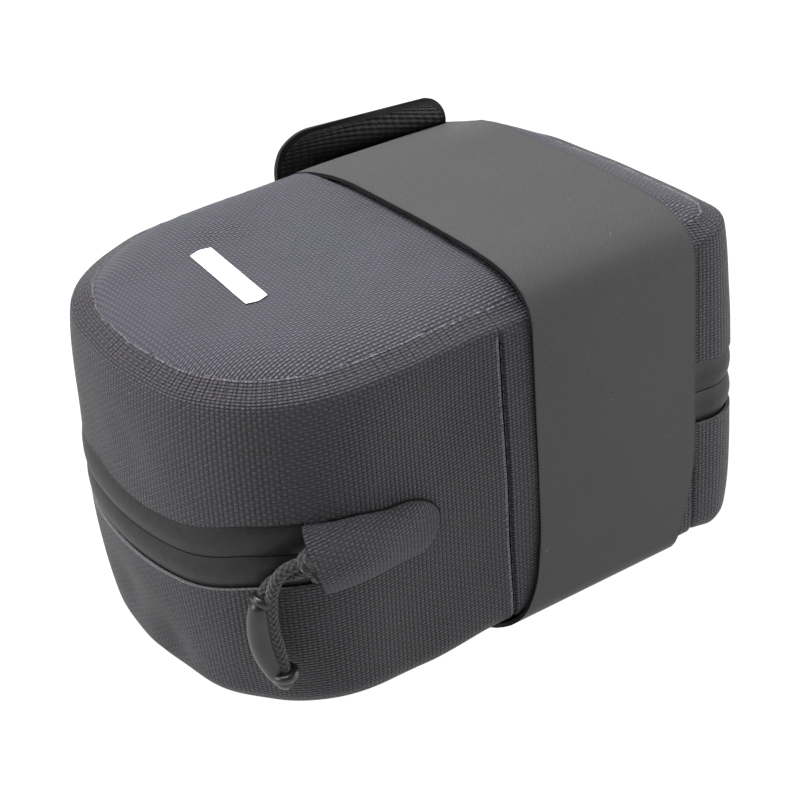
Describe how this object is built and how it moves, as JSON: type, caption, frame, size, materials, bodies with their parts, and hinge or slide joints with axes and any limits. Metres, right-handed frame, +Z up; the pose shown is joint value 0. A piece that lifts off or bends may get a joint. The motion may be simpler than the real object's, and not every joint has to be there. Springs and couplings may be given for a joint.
{
  "type": "saddle bag",
  "caption": "Zipped clamshell pouch of coated fabric for tools, closed and hung under a bicycle saddle by a wide hook-and-loop strap, with a zip garage and a corded pull.",
  "frame": {"origin": "centre of the bag's bounding box, without the cord pull, on the plane it stands on, which is the underside of the strap", "axes": "+Z up out of the domed lid, +X along the bag from the round nose to the flat end, -Y towards the side with the zip garage and the fold"},
  "size_m": [0.1538, 0.1174, 0.098],
  "materials": {
    "coated_nylon": "matt coated weave",
    "top_nylon": "matt coated weave",
    "strap_nylon": "matt coated weave",
    "zip_tape_black": "matt water-repellent film",
    "hook_loop_black": "matt pile",
    "cord_braid": "matt braid",
    "grip_plastic": "satin gloss",
    "stiffener_plastic": "matt",
    "foam": "matt closed-cell foam",
    "coil_nylon": "matt",
    "slider_metal": "black enamel"
  },
  "bodies": {
    "bag": {"bottom_panel": "coated_nylon", "base_stiffener": "stiffener_plastic", "lower_gusset": "coated_nylon", "hinge_panel_lower": "coated_nylon", "gusset_front_patch": "coated_nylon", "lower_zip_tape": "zip_tape_black", "lower_zip_coil": "coil_nylon", "zip_stop_front": "coil_nylon", "zip_stop_rear": "coil_nylon", "zip_garage": "coated_nylon", "upper_zip_tape_end": "zip_tape_black", "strap_base": "strap_nylon"},
    "lid": {"top_panel": "top_nylon", "lid_stiffener": "foam", "upper_gusset": "coated_nylon", "upper_gusset_over_garage": "coated_nylon", "upper_gusset_front": "coated_nylon", "hinge_panel_upper": "coated_nylon", "upper_zip_tape": "zip_tape_black", "upper_zip_coil": "coil_nylon", "strap_near_upper": "strap_nylon"},
    "strap_arm": {"strap_arm": "strap_nylon", "loop_patch": "hook_loop_black"},
    "strap_tab": {"strap_tab": "strap_nylon", "hook_patch": "hook_loop_black"},
    "slider": {"slider_body": "slider_metal", "slider_bridge": "slider_metal", "pull_tab": "slider_metal"},
    "pull": {"cord_knot": "cord_braid", "pull_cord_front": "cord_braid", "pull_cord_back": "cord_braid", "pull_grip": "grip_plastic"}
  },
  "joints": [
    {"name": "lid_open", "type": "hinge", "parent": "bag", "child": "lid", "pos_m": [0, -0.05761, 0.0466], "axis": [0.9992, -0.0394, 0], "range_deg": [0, 100]},
    {"name": "strap_tab_peel", "type": "hinge", "parent": "bag", "child": "strap_tab", "pos_m": [0, 0.05121, 0.0049], "axis": [-0.9992, -0.0394, 0], "range_deg": [0, 85]},
    {"name": "strap_arm_lift", "type": "hinge", "parent": "lid", "child": "strap_arm", "pos_m": [0, -0.05516, 0.0852], "axis": [0.9992, -0.0394, 0], "range_deg": [0, 42.5]},
    {"name": "slider_travel", "type": "hinge", "parent": "bag", "child": "slider", "pos_m": [-0.03533, -0.01279, 0.0466], "axis": [0, 0, -1], "range_deg": [0, 35]},
    {"name": "pull_swing", "type": "hinge", "parent": "slider", "child": "pull", "pos_m": [-0.058, -0.05255, 0.0478], "axis": [-0.8687, 0.4953, 0], "range_deg": [0, 100]}
  ],
  "couplings": [
    {"joint": "strap_arm_lift", "follows": "strap_tab_peel", "ratio": 0.5}
  ]
}
